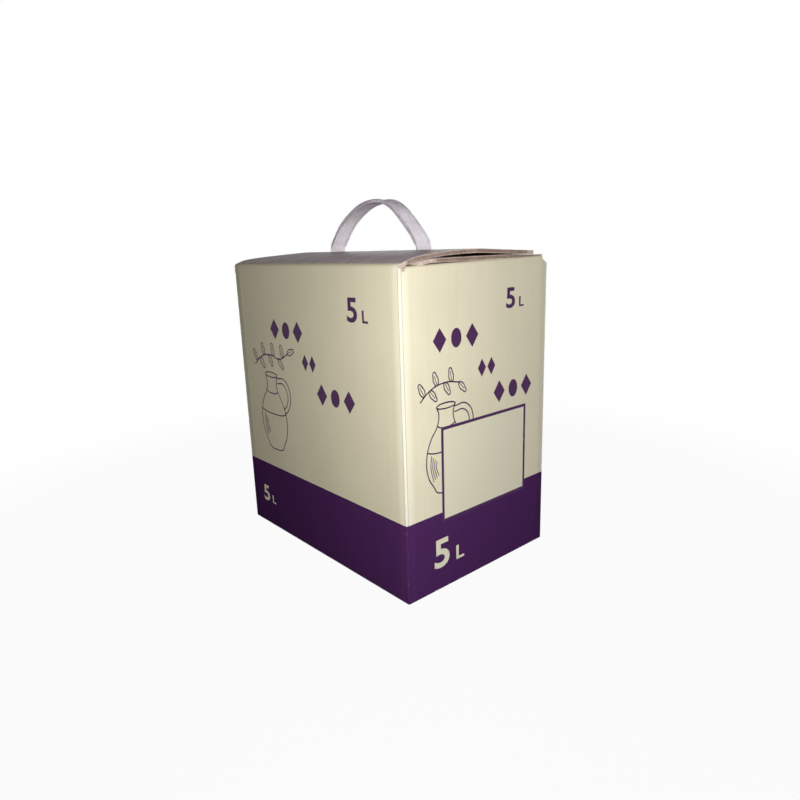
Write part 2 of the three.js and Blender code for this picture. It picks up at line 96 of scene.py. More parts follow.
@dataclass(frozen=True)
class Carton:
    """The carton's main sizes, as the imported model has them."""

    half_width: float = 102 * MM
    half_depth: float = 71 * MM
    height: float = 220 * MM
    board: float = 2.6 * MM
    flute_pitch: float = 6.4 * MM
    band_top: float = 56 * MM
    print_top: float = 217.2 * MM
    print_room: float = 0.1 * MM


CARTON = Carton()


# Shader graphs


class Graph:
    """The node tree of a material or a world, with short calls that add and link its nodes."""

    def __init__(self, name: str, world: bool = False) -> None:
        """Starts a material with its Principled shader, or a world with its Background.

        Args:
            name: The material's or the world's name.
            world: Whether it's a world.
        """
        self.owner = (bpy.data.worlds if world else bpy.data.materials).new(name)
        self.owner.use_nodes = True
        self.tree = self.owner.node_tree
        self.shader = self.tree.nodes["Background" if world else "Principled BSDF"]

    def add(self, kind: str, **settings: object) -> bpy.types.Node:
        """Adds a node.

        Args:
            kind: The node's type name.
            **settings: Properties to set on the node.

        Returns:
            The new node.
        """
        node = self.tree.nodes.new(kind)
        for key, value in settings.items():
            setattr(node, key, value)
        return node

    def feed(self, socket: Socket, value: object) -> None:
        """Links a socket, or sets it where the value is a constant.

        Args:
            socket: The socket that is fed.
            value: Another socket or a constant.
        """
        if isinstance(value, Socket):
            self.tree.links.new(value, socket)
        else:
            socket.default_value = value

    def math(self, operation: str, first: object, second: object = 0.0) -> Socket:
        """Adds a Math node.

        Args:
            operation: The node's operation.
            first: A socket or a number.
            second: A socket or a number.

        Returns:
            The result's socket.
        """
        node = self.add("ShaderNodeMath", operation=operation)
        self.feed(node.inputs[0], first)
        self.feed(node.inputs[1], second)
        return node.outputs[0]

    def place(self) -> tuple[Socket, ...]:
        """Reads the place on the object.

        Returns:
            The place, whole and as x, y and z.
        """
        where = self.add("ShaderNodeTexCoord").outputs["Object"]
        parts = self.add("ShaderNodeSeparateXYZ")
        self.feed(parts.inputs[0], where)
        return (where, parts.outputs[0], parts.outputs[1], parts.outputs[2])

    def weigh(self, *shares: tuple[Socket, float]) -> Socket:
        """Adds up values.

        Args:
            *shares: Each value with its weight.

        Returns:
            The weighted sum's socket.
        """
        total, *others = [self.math("MULTIPLY", value, weight) for value, weight in shares]
        for other in others:
            total = self.math("ADD", total, other)
        return total

    def noise(self, where: Socket, scale: float, detail: float = 3.0, stretch: Triple = (1, 1, 1)) -> Socket:
        """Adds a noise pattern.

        Args:
            where: The coordinates it reads.
            scale: Features per metre.
            detail: Octaves.
            stretch: Scale along each axis, on top of the first.

        Returns:
            The noise's value, about 0.5 on average.
        """
        mapping = self.add("ShaderNodeMapping")
        self.feed(mapping.inputs["Vector"], where)
        mapping.inputs["Scale"].default_value = stretch
        pattern = self.add("ShaderNodeTexNoise")
        self.feed(pattern.inputs["Vector"], mapping.outputs[0])
        pattern.inputs["Scale"].default_value = scale
        pattern.inputs["Detail"].default_value = detail
        return pattern.outputs[0]

    def rise(self, value: Socket, low: float, high: float, low_out: float = 0.0,
             high_out: float = 1.0) -> Socket:
        """Maps a value smoothly from one range to another.

        Args:
            value: What is mapped.
            low: Where the rise starts.
            high: Where it ends.
            low_out: The result at and below low.
            high_out: The result at and above high.

        Returns:
            The mapped value's socket.
        """
        node = self.add("ShaderNodeMapRange", interpolation_type="SMOOTHSTEP")
        self.feed(node.inputs["Value"], value)
        ends = {"From Min": low, "From Max": high, "To Min": low_out, "To Max": high_out}
        for key, number in ends.items():
            node.inputs[key].default_value = number
        return node.outputs[0]

    def mix(self, share: object, first: object, second: object) -> Socket:
        """Mixes two colours.

        Args:
            share: How much of the second there is.
            first: A colour or socket.
            second: A colour or socket.

        Returns:
            The mixed colour's socket.
        """
        node = self.add("ShaderNodeMix", data_type="RGBA")
        self.feed(node.inputs[0], share)
        self.feed(node.inputs[6], first)
        self.feed(node.inputs[7], second)
        return node.outputs[2]

    def bump(self, height: Socket, strength: float, distance: float,
             below: Socket | None = None) -> Socket:
        """Adds a bump.

        Args:
            height: The height pattern.
            strength: The bump's strength.
            distance: Its depth in metres.
            below: A bump that this one lies on.

        Returns:
            The bumped normal's socket.
        """
        node = self.add("ShaderNodeBump")
        self.feed(node.inputs["Height"], height)
        node.inputs["Strength"].default_value = strength
        node.inputs["Distance"].default_value = distance
        if below is not None:
            self.feed(node.inputs["Normal"], below)
        return node.outputs[0]

    def dress(self, **inputs: object) -> Material:
        """Feeds the shader that the material or world started with.

        Args:
            **inputs: Socket names, with underscores for spaces, and what goes in.

        Returns:
            The material or world.
        """
        for key, value in inputs.items():
            self.feed(self.shader.inputs[key.replace("_", " ")], value)
        return self.owner

    def seen(self) -> Socket:
        """Finds the rays that show the background: the camera's, and those of gloss and glass.

        Returns:
            A socket that is 1 for them and 0 for others.
        """
        path = self.add("ShaderNodeLightPath")
        total = path.outputs["Is Camera Ray"]
        for name in ("Is Glossy Ray", "Is Transmission Ray"):
            total = self.math("MAXIMUM", total, path.outputs[name])
        return total

    def show(self, output: str, share: Socket, first: Socket, second: Socket) -> None:
        """Mixes two shaders and shows the result.

        Args:
            output: The output node's name.
            share: How much of the second there is.
            first: A shader's socket.
            second: A shader's socket.
        """
        choice = self.add("ShaderNodeMixShader")
        for socket, value in zip(choice.inputs, (share, first, second)):
            self.feed(socket, value)
        self.feed(self.tree.nodes[output].inputs["Surface"], choice.outputs[0])


# Finishes


@dataclass(frozen=True)
class PrintedBoard:
    """The carton's outer liner: cream, with a purple band round the base, over upright flutes; with a
    painted highlight along the upright folds and painted shade in the score lines beside them.
    """

    cream: Colour = tint(240, 232, 201)
    shade: Colour = tint(235, 226, 195)
    purple: Colour = tint(80, 43, 93)
    pale_purple: Colour = tint(88, 49, 101)
    # paper colour for the painted highlight at the folds and for rubbed print
    highlight_and_bare_paper: Colour = tint(252, 250, 236)
    # colour of the painted shade in the score lines
    crease: Colour = tint(46, 36, 44)
    corner_sum: float = CARTON.half_width + CARTON.half_depth
    fold_reach: float = 8 * MM
    # how far the cream pales into a painted highlight at the upright folds
    fold_highlight_share: float = 0.42
    fold_depth: float = 0.7 * MM
    score_inset: float = 1.9 * MM
    score_half: float = 0.4 * MM
    # how dark the painted shade in the score lines is
    score_shade_share: float = 0.36
    band_softness: float = 0.25 * MM
    flute_depth: float = 0.06 * MM
    fibre_depth: float = 0.05 * MM
    # painted highlight in patches right at the upright folds; the foot's share is rubbed print
    fold_highlight_reach: float = 2.4 * MM
    fold_highlight_weight: float = 0.03
    rubbed_foot: float = 0.25
    clouds_per_metre: float = 22
    streaks_per_metre: float = 160
    rubs_per_metre: float = 260
    wobbles_per_metre: float = 700
    fibres_per_metre: float = 1500

    def make(self) -> Material:
        """Builds the material."""
        graph = Graph("printed_board")
        where, x, y, z = graph.place()
        turns = graph.math("MULTIPLY", graph.math("ADD", x, y), math.tau / CARTON.flute_pitch)
        flutes = graph.math("SINE", turns)
        clouds = graph.noise(where, self.clouds_per_metre)
        fibre = graph.noise(where, self.fibres_per_metre, 4)
        streaks = graph.noise(where, self.streaks_per_metre, 2, (1, 1, 0.06))
        tone = graph.weigh((clouds, 0.75), (streaks, 0.25), (flutes, 0.02))
        cream = graph.mix(graph.rise(tone, 0.35, 0.75), self.cream, self.shade)
        mottle = graph.weigh((fibre, 0.7), (streaks, 0.3))
        purple = graph.mix(graph.rise(mottle, 0.45, 0.8), self.purple, self.pale_purple)
        wobble = graph.math("MULTIPLY", graph.noise(where, self.wobbles_per_metre, 2), self.band_softness)
        level = graph.math("ADD", z, wobble)
        out_x = graph.math("ABSOLUTE", x)
        out_y = graph.math("ABSOLUTE", y)
        total = graph.math("ADD", out_x, out_y)
        # painted highlight: the cream pales toward bare paper near each upright fold
        fold = graph.rise(total, self.corner_sum - self.fold_reach, self.corner_sum - 0.5 * MM)
        pale = graph.mix(graph.math("MULTIPLY", fold, self.fold_highlight_share), cream, self.highlight_and_bare_paper)
        over_band = graph.rise(level, CARTON.band_top, CARTON.band_top + self.band_softness)
        printed = graph.mix(over_band, purple, pale)
        # painted shade: a dark line in the score beside each upright fold
        middle = self.corner_sum - self.score_inset
        near = graph.rise(total, middle - self.score_half, middle)
        beyond = graph.rise(total, middle, middle + self.score_half, self.score_shade_share, 0.0)
        score_shaded = graph.mix(graph.math("MULTIPLY", near, beyond), printed, self.crease)
        # painted highlight in patches at the upright folds, rubbed print along the base
        highlit_and_worn = graph.mix(self._highlight_and_wear(graph, where, out_x, out_y, z), score_shaded, self.highlight_and_bare_paper)
        ridged = graph.bump(flutes, 0.12, self.flute_depth)
        turned = graph.bump(graph.math("MULTIPLY", fold, -1.0), 1.0, self.fold_depth, ridged)
        surface = graph.bump(fibre, 0.25, self.fibre_depth, turned)
        roughness = graph.rise(mottle, 0.3, 0.7, 0.5, 0.62)
        return graph.dress(Base_Color=highlit_and_worn, Roughness=roughness, Specular_IOR_Level=0.0, Normal=surface)

    def _highlight_and_wear(self, graph: Graph, where: Socket, out_x: Socket, out_y: Socket, z: Socket) -> Socket:
        """Gives the share of paler paper: a painted highlight in patches along the upright folds, and rubbed
        print along the base's edge.

        Args:
            graph: The material's graph.
            where: The place on the object.
            out_x: How far out the place is along x.
            out_y: How far out it is along y.
            z: Its height.

        Returns:
            The share of painted highlight and rubbed print.
        """
        reach = self.fold_highlight_reach
        near_x = graph.rise(out_x, CARTON.half_width - reach, CARTON.half_width)
        near_y = graph.rise(out_y, CARTON.half_depth - reach, CARTON.half_depth)
        # painted highlight right at the upright folds
        fold = graph.math("MULTIPLY", near_x, near_y)
        foot = graph.rise(z, 0.4 * MM, 1.6 * MM, self.rubbed_foot, 0.0)
        rubbed = graph.rise(graph.noise(where, self.rubs_per_metre, 5), 0.5, 0.68)
        softly = graph.math("ADD", graph.math("MULTIPLY", fold, self.fold_highlight_weight), foot)
        return graph.math("MULTIPLY", softly, rubbed)


@dataclass(frozen=True)
class ShadedBareBoard:
    """The white liner where it isn't printed, on the top and base flaps, with the shade of the top painted
    into its mauve-grey colours.
    """

    # painted shade: mauve-grey, darker than the white liner
    light: Colour = tint(202, 188, 190)
    dark: Colour = tint(176, 161, 164)
    flute_depth: float = 0.1 * MM
    fibre_depth: float = 0.06 * MM
    clouds_per_metre: float = 30
    streaks_per_metre: float = 120
    fibres_per_metre: float = 1300

    def make(self) -> Material:
        """Builds the material."""
        graph = Graph("bare_board_painted_shade")
        where, x, _, _ = graph.place()
        flutes = graph.math("SINE", graph.math("MULTIPLY", x, math.tau / CARTON.flute_pitch))
        fibre = graph.noise(where, self.fibres_per_metre, 4)
        streaks = graph.noise(where, self.streaks_per_metre, 3, (1, 0.1, 0.1))
        clouds = graph.noise(where, self.clouds_per_metre, 3)
        tone = graph.weigh((streaks, 0.5), (clouds, 0.4), (flutes, 0.06))
        colour = graph.mix(graph.rise(tone, 0.3, 0.62), self.light, self.dark)
        ridged = graph.bump(flutes, 0.3, self.flute_depth)
        surface = graph.bump(fibre, 0.3, self.fibre_depth, ridged)
        return graph.dress(Base_Color=colour, Roughness=0.62, Specular_IOR_Level=0.12, Normal=surface)


@dataclass(frozen=True)
class Kraft:
    """Brown paper: the board's inner liner, its medium and its raw cut edges."""

    name: str
    light: Colour
    dark: Colour
    fibres_per_metre: float
    stretch: Triple = (1, 1, 1)
    flecks_per_metre: float = 90
    relief: float = 0.15 * MM

    def make(self) -> Material:
        """Builds the material."""
        graph = Graph(self.name)
        where, _, _, _ = graph.place()
        fibre = graph.noise(where, self.fibres_per_metre, 5, self.stretch)
        flecks = graph.noise(where, self.flecks_per_metre, 2)
        tone = graph.weigh((fibre, 0.75), (flecks, 0.25))
        colour = graph.mix(graph.rise(tone, 0.38, 0.62), self.dark, self.light)
        surface = graph.bump(fibre, 0.6, self.relief)
        return graph.dress(Base_Color=colour, Roughness=0.85, Specular_IOR_Level=0.1, Normal=surface)


INNER_LINER = Kraft("inner_liner", tint(172, 144, 112), tint(150, 122, 92), 700)
CUT_LINER = Kraft("cut_liner", tint(228, 211, 196), tint(190, 168, 152), 1400, (1, 0.25, 1))
MEDIUM = Kraft("fluted_medium", tint(178, 157, 141), tint(138, 116, 102), 900)


@dataclass(frozen=True)
class PrintInk:
    """A flat ink on the liner, a little uneven, as a flexo print is."""

    name: str
    full: Colour
    thin: Colour
    fibres_per_metre: float = 1500
    relief: float = 0.04 * MM

    def make(self) -> Material:
        """Builds the material."""
        graph = Graph(self.name)
        where, _, _, _ = graph.place()
        fibre = graph.noise(where, self.fibres_per_metre, 4)
        colour = graph.mix(graph.rise(fibre, 0.45, 0.75), self.full, self.thin)
        surface = graph.bump(fibre, 0.2, self.relief)
        return graph.dress(Base_Color=colour, Roughness=0.56, Specular_IOR_Level=0.12, Normal=surface)


PURPLE_INK = PrintInk("purple_ink", tint(74, 38, 80), tint(90, 54, 94))
CREAM_INK = PrintInk("cream_ink", tint(236, 230, 201), tint(228, 220, 193))


@dataclass(frozen=True)
class StrapPlastic:
    """Milky polyethylene that lets a little light through, with painted shade: greyer toward the top of the
    arch and along the strap's edges, and in stripes at the rib pitch.
    """

    colour: Colour = tint(253, 250, 252)
    # darker tone for random clouds and for the painted shade of the ribs
    shade: Colour = tint(230, 222, 227)
    # painted shade for the top of the arch and the strap's edges
    crown_shade: Colour = tint(214, 205, 213)
    crown_from: float = 247 * MM
    crown_to: float = 262 * MM
    half_width: float = 7 * MM
    edge_shade_width: float = 0.6 * MM
    rib_pitch: float = 2.04 * MM
    clouds_per_metre: float = 60
    light_reach: float = 3 * MM

    def make(self) -> Material:
        """Builds the material."""
        graph = Graph("strap_plastic")
        where, _, y, z = graph.place()
        # painted shade in stripes at the rib pitch
        lines = graph.math("COSINE", graph.math("MULTIPLY", y, math.tau / self.rib_pitch))
        clouds = graph.noise(where, self.clouds_per_metre, 2)
        tone = graph.math("SUBTRACT", clouds, graph.math("MULTIPLY", lines, 0.22))
        body = graph.mix(graph.rise(tone, 0.35, 0.65), self.colour, self.shade)
        # painted shade: greyer over the top of the arch and along the strap's edges
        high = graph.rise(z, self.crown_from, self.crown_to)
        inner = self.half_width - self.edge_shade_width
        edge = graph.rise(graph.math("ABSOLUTE", y), inner, inner + 0.5 * MM, 0.0, 0.5)
        colour = graph.mix(graph.math("MAXIMUM", high, edge), body, self.crown_shade)
        return graph.dress(
            Base_Color=colour, Roughness=0.5, Specular_IOR_Level=0.15, Transmission_Weight=0.33,
            Subsurface_Weight=0.2, Subsurface_Radius=(self.light_reach,) * 3, Subsurface_Scale=1.0,
        )


@dataclass(frozen=True)
class MetalFilm:
    """Metallised bag film, creased and bright."""

    light: Colour = tint(206, 208, 212)
    dark: Colour = tint(158, 161, 168)
    creases_per_metre: float = 70
    crinkles_per_metre: float = 420
    crease_depth: float = 1.2 * MM
    crinkle_depth: float = 0.2 * MM

    def make(self) -> Material:
        """Builds the material."""
        graph = Graph("metal_film")
        where, _, _, _ = graph.place()
        creases = graph.noise(where, self.creases_per_metre, 4)
        crinkles = graph.noise(where, self.crinkles_per_metre, 3)
        colour = graph.mix(graph.rise(creases, 0.4, 0.62), self.light, self.dark)
        creased = graph.bump(creases, 0.6, self.crease_depth)
        surface = graph.bump(crinkles, 0.4, self.crinkle_depth, creased)
        roughness = graph.rise(crinkles, 0.3, 0.7, 0.22, 0.36)
        return graph.dress(Base_Color=colour, Roughness=roughness, Metallic=0.85, Normal=surface)


@dataclass(frozen=True)
class MouldedPlastic:
    """Moulded plastic with the faint orange peel of its mould."""

    name: str
    colour: Colour
    shade: Colour
    peel_per_metre: float = 900
    clouds_per_metre: float = 80
    relief: float = 0.05 * MM

    def make(self) -> Material:
        """Builds the material."""
        graph = Graph(self.name)
        where, _, _, _ = graph.place()
        peel = graph.noise(where, self.peel_per_metre, 2)
        clouds = graph.noise(where, self.clouds_per_metre, 2)
        colour = graph.mix(graph.rise(clouds, 0.35, 0.7), self.colour, self.shade)
        surface = graph.bump(peel, 0.15, self.relief)
        return graph.dress(Base_Color=colour, Roughness=0.32, Specular_IOR_Level=0.5, Normal=surface)


TAP_WHITE = MouldedPlastic("tap_white", tint(240, 240, 236), tint(228, 228, 222))
LEVER_RED = MouldedPlastic("lever_red", tint(178, 34, 44), tint(156, 26, 36))


# Modelling by operator


def deselect() -> None:
    """Leaves edit mode if it is on, and deselects every object."""
    if bpy.context.object is not None and bpy.context.object.mode != "OBJECT":
        bpy.ops.object.mode_set(mode="OBJECT")
    bpy.ops.object.select_all(action="DESELECT")


def choose(piece: Piece) -> None:
    """Makes one object the selected and active one.

    Args:
        piece: The object.
    """
    deselect()
    piece.select_set(True)
    bpy.context.view_layer.objects.active = piece


def join(pieces: Iterable[Piece], name: str) -> Piece:
    """Joins objects into one.

    Args:
        pieces: The objects, with the one whose material slots lead first.
        name: The joined object's name.

    Returns:
        The joined object.
    """
    found = list(pieces)
    deselect()
    for piece in found:
        piece.select_set(True)
    bpy.context.view_layer.objects.active = found[0]
    bpy.ops.object.join()
    found[0].name = name
    found[0].data.name = name
    return found[0]


def settle(piece: Piece, matrix: Matrix | None = None) -> None:
    """Puts an object's place into its mesh.

    Args:
        piece: The object.
        matrix: What moves it first, if anything does.
    """
    if matrix is not None:
        piece.matrix_world = matrix @ piece.matrix_world
    choose(piece)
    bpy.ops.object.transform_apply(location=True, rotation=True, scale=True)


def remesh(piece: Piece, voxel: float) -> None:
    """Adds a voxel remesh.

    Args:
        piece: The object.
        voxel: The voxel's size in metres.
    """
    modifier = piece.modifiers.new("remesh", "REMESH")
    modifier.mode = "VOXEL"
    modifier.voxel_size = voxel


def soften(piece: Piece, times: int) -> None:
    """Adds a smoothing of the surface, with how many times it's done."""
    piece.modifiers.new("softened", "SMOOTH").iterations = times


def apply_all(piece: Piece) -> None:
    """Applies every modifier of an object, from the top down.

    Args:
        piece: The object.
    """
    choose(piece)
    for name in [modifier.name for modifier in piece.modifiers]:
        bpy.ops.object.modifier_apply(modifier=name)


def smooth(piece: Piece, degrees: float = 32) -> None:
    """Shades an object smooth, with its edges sharp above an angle."""
    choose(piece)
    bpy.ops.object.shade_smooth_by_angle(angle=math.radians(degrees))


def copy_of(node: str, name: str) -> Piece:
    """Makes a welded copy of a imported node's mesh.

    Args:
        node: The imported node's name.
        name: The copy's name.

    Returns:
        The copy, whose flat areas are whole faces.
    """
    piece = bpy.data.objects.new(name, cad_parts[node].data.copy())
    piece.data.name = name
    piece.data.materials.clear()
    bpy.context.scene.collection.objects.link(piece)
    choose(piece)
    bpy.ops.object.mode_set(mode="EDIT")
    bpy.ops.mesh.select_all(action="SELECT")
    bpy.ops.mesh.remove_doubles(threshold=0.004 * MM)
    bpy.ops.mesh.dissolve_limited(angle_limit=math.radians(0.2))
    bpy.ops.mesh.customdata_custom_splitnormals_clear()
    bpy.ops.object.mode_set(mode="OBJECT")
    return piece


def wear(piece: Piece, materials: Iterable[Material],
         pick: Callable[[Vector, Vector], int] | None = None) -> None:
    """Gives an object its materials, and each face one of them.

    Args:
        piece: The object.
        materials: Its materials, by slot.
        pick: Gives a face's slot from its middle and its normal.
    """
    for material in materials:
        piece.data.materials.append(material)
    if pick is not None:
        for face in piece.data.polygons:
            face.material_index = pick(face.center, face.normal)


def finish_piece(piece: Piece, body: str, slot: str, *nodes: str) -> None:
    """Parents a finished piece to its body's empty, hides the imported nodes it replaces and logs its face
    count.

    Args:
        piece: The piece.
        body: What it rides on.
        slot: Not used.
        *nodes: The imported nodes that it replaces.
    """
    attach(piece, body)
    if nodes:
        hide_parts(*nodes)
    LOG.info("%s rides on %s with %d faces", piece.name, body, len(piece.data.polygons))


# Board


class BoardFace(IntEnum):
    """What a face of the board shows, by its material slot."""

    PRINT = 0
    BARE = 1
    INNER = 2
    CUT = 3
    MEDIUM = 4


@dataclass
class FoldedCarton:
    """The folded blank: walls, glued corner, base flaps and the lower top flaps."""

    materials: list[Material]
    node: str = "carton"
    body: str = "box"
    slot: str = "printed_board"
    near: float = 0.12 * MM
    corner: float = 2.4 * MM
    slot_foot: float = 215.1 * MM
    low_bevel: float = 0.8 * MM
    top_fold: float = 3.0 * MM
    fold_radius: float = 5 * MM
    fold_top: float = 220.95 * MM
    base_flaps_top: float = 2 * MM
    top_flaps_foot: float = 214 * MM
    medium_foot: float = 218.6 * MM
    medium_from: float = 99 * MM
    medium_to: float = 101.2 * MM

    def face_at(self, centre: Vector, normal: Vector) -> int:
        """Gives what a face shows.

        Args:
            centre: The face's middle.
            normal: The face's normal.

        Returns:
            The material slot.
        """
        if self._on_outside(centre, normal):
            return BoardFace.PRINT
        if self._on_back_fold(centre, normal):
            return BoardFace.PRINT if centre.z < CARTON.print_top else BoardFace.BARE
        on_base = centre.z < self.base_flaps_top and normal.z < -0.6
        on_top = centre.z > self.top_flaps_foot and normal.z > 0.5
        if on_base or on_top:
            return BoardFace.BARE
        inset = min(CARTON.half_width - abs(centre.x), CARTON.half_depth - abs(centre.y))
        deep = inset > CARTON.board - self.near
        faces_in = normal.x * centre.x + normal.y * centre.y < 0 and abs(normal.z) < 0.5
        if deep and (faces_in or abs(normal.z) > 0.9):
            return BoardFace.INNER
        between = self.medium_from < abs(centre.x) < self.medium_to
        return BoardFace.MEDIUM if between and centre.z > self.medium_foot else BoardFace.CUT

    def _on_outside(self, centre: Vector, normal: Vector) -> bool:
        """Tells whether a face is part of the walls' printed outside.

        Args:
            centre: The face's middle.
            normal: The face's normal.

        Returns:
            Whether it is.
        """
        if centre.z > CARTON.height + self.near or abs(normal.z) > 0.97:
            return False
        inset_x = CARTON.half_width - abs(centre.x)
        inset_y = CARTON.half_depth - abs(centre.y)
        outward_x = normal.x * centre.x > 0 and inset_x < self.near and abs(normal.x) > 0.6
        outward_y = normal.y * centre.y > 0 and inset_y < self.near and abs(normal.y) > 0.6
        rounded = inset_x + inset_y < self.corner and abs(normal.z) < 0.3 and centre.z < self.slot_foot
        flowing = normal.x * centre.x + normal.y * centre.y > 0
        low_bevel = centre.z < self.low_bevel and normal.z < 0 and flowing
        rolled = min(inset_x, inset_y) < self.top_fold and normal.z > 0.1 and centre.z > self.slot_foot
        along_fold = abs(normal.x) < 0.1 or abs(normal.y) < 0.1
        return outward_x or outward_y or rounded or low_bevel or (rolled and flowing and along_fold)

    def _on_back_fold(self, centre: Vector, normal: Vector) -> bool:
        """Tells whether a face is on the outside of the rounded fold at the back.

        Args:
            centre: The face's middle.
            normal: The face's normal.

        Returns:
            Whether it is.
        """
        across = centre.y - (CARTON.half_depth - self.fold_radius)
        up = centre.z - (self.fold_top - self.fold_radius)
        outward = normal.y * across + normal.z * up
        return across > 0 and up > 0 and outward > 0.6 * math.hypot(across, up) and abs(normal.x) < 0.3

    def build(self) -> None:
        """Makes and dresses the carton."""
        piece = copy_of(self.node, "carton_board")
        wear(piece, self.materials, self.face_at)
        room = CARTON.print_room
        piece.scale = (1 - room / CARTON.half_width, 1 - room / CARTON.half_depth, 1)
        settle(piece)
        smooth(piece)
        finish_piece(piece, self.body, self.slot, self.node)


@dataclass
class OuterFlap:
    """The outer top flap, which carries the strap."""

    materials: list[Material]
    node: str = "outer_flap"
    body: str = "flap"
    slot: str = "flap_board"
    half_width: float = 101.4 * MM
    near: float = 0.1 * MM
    skin: float = 0.25 * MM
    above: float = 20 * MM
    piece: Piece = field(init=False)
    ends: tuple[Vector, Vector] = field(init=False)

    def face_at(self, centre: Vector, normal: Vector) -> int:
        """Gives what a face shows.

        Args:
            centre: The face's middle.
            normal: The face's normal.

        Returns:
            The material slot.
        """
        lowest, highest = self.ends
        if normal.z > 0.5 and abs(centre.x) < self.half_width - self.near and centre.y > lowest.y:
            if centre.z > self.skin_height(centre) - self.skin:
                return BoardFace.BARE
        if normal.z < -0.5 and centre.z < self.skin_height(centre) - CARTON.board + self.skin:
            return BoardFace.INNER
        on_side = abs(centre.x) > self.half_width - self.near
        on_edge = centre.y > highest.y - self.near or centre.y < lowest.y + self.near
        return BoardFace.CUT if on_side or on_edge else BoardFace.MEDIUM

    def skin_height(self, place: Vector) -> float:
        """Finds the flap's upper surface over a place, from its mesh.

        Args:
            place: The place.

        Returns:
            The surface's height.
        """
        start = Vector((place.x, place.y, CARTON.height + self.above))
        found, where, _, _ = self.piece.ray_cast(start, Vector((0, 0, -1)))
        return where.z if found else CARTON.height

    def build(self) -> None:
        """Makes and dresses the flap."""
        self.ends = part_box(self.node)
        self.piece = copy_of(self.node, "outer_flap_board")
        bpy.context.view_layer.update()
        wear(self.piece, self.materials, self.face_at)
        smooth(self.piece)
        finish_piece(self.piece, self.body, self.slot, self.node)


# Print


@dataclass
class WallPrint:
    """What is printed on one wall, as thin ink shapes that lie on the liner."""

    wall: Wall
    inks: list[Material]
    lift: float = 0.02 * MM
    thick: float = 0.04 * MM
    parts: list[Piece] = field(default_factory=list)

    def matrix(self) -> Matrix:
        """Gives the turn and place that lay a flat shape, drawn seen from outside, on the wall.

        Returns:
            The matrix.
        """
        room = CARTON.print_room
        reach = Vector((CARTON.half_width - room, CARTON.half_depth - room, 0))
        out = Vector((*self.wall.value, 0))
        up = Vector((0, 0, 1))
        turn = Matrix((up.cross(out), up, out)).transposed()
        return Matrix.Translation(out * reach) @ turn.to_4x4()

    def keep(self, part: Piece, ink: Ink) -> None:
        """Takes a flat part into the print.

        Args:
            part: The part.
            ink: The ink it's printed in.
        """
        for material in self.inks:
            part.data.materials.append(material)
        for face in part.data.polygons:
            face.material_index = ink
        self.parts.append(part)

    def disc(self, u: float, v: float, half_u: float, half_v: float, corners: int, ink: Ink) -> None:
        """Prints a solid disc, or a lozenge where it has four corners.

        Args:
            u: Its middle along the wall, in millimetres.
            v: Its middle up the wall, in millimetres.
            half_u: Half its width, in millimetres.
            half_v: Half its height, in millimetres.
            corners: How many corners it has.
            ink: Its ink.
        """
        deselect()
        bpy.ops.mesh.primitive_circle_add(
            vertices=corners, radius=1, fill_type="NGON", location=(u * MM, v * MM, self.lift))
        part = bpy.context.object
        part.scale = (half_u * MM, half_v * MM, 1)
        settle(part)
        bpy.ops.object.mode_set(mode="EDIT")
        bpy.ops.mesh.select_all(action="SELECT")
        bpy.ops.mesh.extrude_region_move(TRANSFORM_OT_translate={"value": (0, 0, self.thick)})
        bpy.ops.mesh.select_all(action="SELECT")
        bpy.ops.mesh.normals_make_consistent(inside=False)
        bpy.ops.object.mode_set(mode="OBJECT")
        self.keep(part, ink)

    def text(self, words: str, u: float, v: float, height: float, ink: Ink, squeeze: float = 1.0) -> None:
        """Prints plain numerals or a unit.

        Args:
            words: What is printed.
            u: The left end along the wall, in millimetres.
            v: The foot of the line, in millimetres.
            height: The capitals' height, in millimetres.
            ink: The ink.
            squeeze: Width as a share of the font's own.
        """
        capital_share = 0.73
        boldness = 0.03
        deselect()
        bpy.ops.object.text_add(location=(u * MM, v * MM, self.lift))
        part = bpy.context.object
        part.data.body = words
        part.data.size = height * MM / capital_share
        part.data.extrude = self.thick / 2
        part.data.offset = boldness * height * MM
        part.data.resolution_u = 6
        part.location.z += self.thick / 2
        part.scale.x = squeeze
        bpy.ops.object.convert(target="MESH")
        part = bpy.context.object
        settle(part)
        self.keep(part, ink)

    def stroke(self, points: list[Point], width: float, ink: Ink, closed: bool = False) -> None:
        """Prints a thin drawn line through some points.

        Args:
            points: Places on the wall, in millimetres.
            width: The line's width, in millimetres.
            ink: The ink.
            closed: Whether the line's ends join.
        """
        deselect()
        bpy.ops.curve.primitive_bezier_curve_add()
        part = bpy.context.object
        spline = part.data.splines[0]
        spline.bezier_points.add(len(points) - 2)
        for knot, (u, v) in zip(spline.bezier_points, points):
            knot.co = (u * MM, v * MM, 0)
            knot.handle_left_type = "AUTO"
            knot.handle_right_type = "AUTO"
        spline.use_cyclic_u = closed
        part.data.resolution_u = 8
        part.data.bevel_depth = width * MM / 2
        part.data.bevel_resolution = 1
        part.data.use_fill_caps = True
        bpy.ops.object.convert(target="MESH")
        part = bpy.context.object
        part.scale.z = self.thick / (width * MM)
        part.location.z = self.lift + self.thick / 2
        settle(part)
        self.keep(part, ink)

    def finish(self, name: str) -> None:
        """Joins the parts, lays them on the wall and attaches the piece to the box.

        Args:
            name: The printed piece's name.
        """
        piece = join(self.parts, name)
        settle(piece, self.matrix())
        finish_piece(piece, "box", "printed_board")


